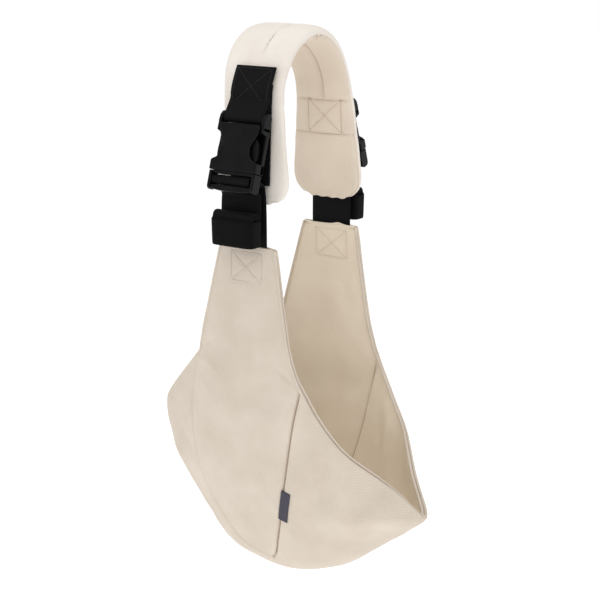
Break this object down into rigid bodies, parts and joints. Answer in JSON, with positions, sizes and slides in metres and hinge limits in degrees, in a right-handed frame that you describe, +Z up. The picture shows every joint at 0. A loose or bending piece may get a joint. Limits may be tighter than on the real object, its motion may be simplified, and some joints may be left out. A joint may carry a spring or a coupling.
{
  "type": "baby hip sling",
  "caption": "One-shoulder padded hip sling: a padded shoulder strap, adjustable webbing with side-release buckles, and a fabric seat pouch with leg openings.",
  "frame": {"origin": "middle of the underside of the pad's crown, where it rests on the wearer's shoulder", "axes": "+Z up, the loop of pad, straps and pouch lies in the Y-Z plane, strap widths run along X, the pouch's long tip points to +X; the front side is at -Y"},
  "size_m": [0.3413, 0.2226, 0.597],
  "materials": {
    "pad_fabric": "matte woven cotton, cream",
    "pouch_fabric": "matte fine-weave cotton, beige",
    "lining": "matte cotton lining, beige",
    "foam": "soft open-cell foam",
    "webbing": "black polyester webbing, slight sheen",
    "elastic": "black ribbed elastic",
    "buckle": "satin black moulded plastic",
    "tag": "blank slate-grey woven tag"
  },
  "bodies": {
    "shoulder_pad": {"pad_foam_core": "foam", "pad_outer_cover": "pad_fabric", "pad_lining": "pad_fabric", "front_anchor_webbing": "webbing", "front_guard_flap": "webbing", "front_buckle_socket": "buckle", "rear_anchor_webbing": "webbing", "rear_guard_flap": "webbing", "rear_buckle_socket": "buckle"},
    "front_clip": {"front_clip_frame": "buckle", "front_strap_and_roll": "webbing"},
    "front_keeper": {"front_elastic_keeper": "elastic"},
    "front_left_prong_arm": {"front_left_prong": "buckle"},
    "front_right_prong_arm": {"front_right_prong": "buckle"},
    "rear_clip": {"rear_clip_frame": "buckle", "rear_strap_and_roll": "webbing"},
    "rear_keeper": {"rear_elastic_keeper": "elastic"},
    "rear_left_prong_arm": {"rear_left_prong": "buckle"},
    "rear_right_prong_arm": {"rear_right_prong": "buckle"},
    "pouch": {"front_load_strap": "webbing", "rear_load_strap": "webbing", "pouch_front_side_panel": "pouch_fabric", "pouch_front_side_lining": "lining", "pouch_rear_side_panel": "pouch_fabric", "pouch_rear_side_lining": "lining", "pouch_right_leg_gusset": "pouch_fabric", "pouch_right_gusset_lining": "lining", "pouch_right_rim_binding": "pouch_fabric", "pouch_left_leg_gusset": "pouch_fabric", "pouch_left_gusset_lining": "lining", "pouch_left_rim_binding": "pouch_fabric", "side_tag": "tag"}
  },
  "joints": [
    {"name": "front_buckle_release", "type": "slide", "parent": "shoulder_pad", "child": "front_clip", "axis": [0, -0.309, -0.9511], "range_m": [0, 0.045]},
    {"name": "front_left_prong_squeeze", "type": "hinge", "parent": "front_clip", "child": "front_left_prong_arm", "pos_m": [-0.0185, -0.09695, -0.11455], "axis": [0, 0.9511, -0.309], "range_deg": [0, 9], "stiffness_Nm_per_rad": 0.05},
    {"name": "front_right_prong_squeeze", "type": "hinge", "parent": "front_clip", "child": "front_right_prong_arm", "pos_m": [0.0185, -0.09695, -0.11455], "axis": [0, -0.9511, 0.309], "range_deg": [0, 9], "stiffness_Nm_per_rad": 0.05},
    {"name": "front_keeper_slide", "type": "slide", "parent": "front_clip", "child": "front_keeper", "axis": [0, 0, -1], "range_m": [0, 0.031]},
    {"name": "rear_buckle_release", "type": "slide", "parent": "shoulder_pad", "child": "rear_clip", "axis": [0, 0.309, -0.9511], "range_m": [0, 0.045]},
    {"name": "rear_left_prong_squeeze", "type": "hinge", "parent": "rear_clip", "child": "rear_left_prong_arm", "pos_m": [-0.0185, 0.09695, -0.11455], "axis": [0, 0.9511, 0.309], "range_deg": [0, 9], "stiffness_Nm_per_rad": 0.05},
    {"name": "rear_right_prong_squeeze", "type": "hinge", "parent": "rear_clip", "child": "rear_right_prong_arm", "pos_m": [0.0185, 0.09695, -0.11455], "axis": [0, -0.9511, -0.309], "range_deg": [0, 9], "stiffness_Nm_per_rad": 0.05},
    {"name": "rear_keeper_slide", "type": "slide", "parent": "rear_clip", "child": "rear_keeper", "axis": [0, 0, -1], "range_m": [0, 0.031]},
    {"name": "strap_length", "type": "slide", "parent": "shoulder_pad", "child": "pouch", "axis": [0, 0, -1], "range_m": [0, 0.06]}
  ],
  "couplings": [
    {"joint": "front_right_prong_squeeze", "follows": "front_left_prong_squeeze", "ratio": 1},
    {"joint": "rear_right_prong_squeeze", "follows": "rear_left_prong_squeeze", "ratio": 1}
  ]
}
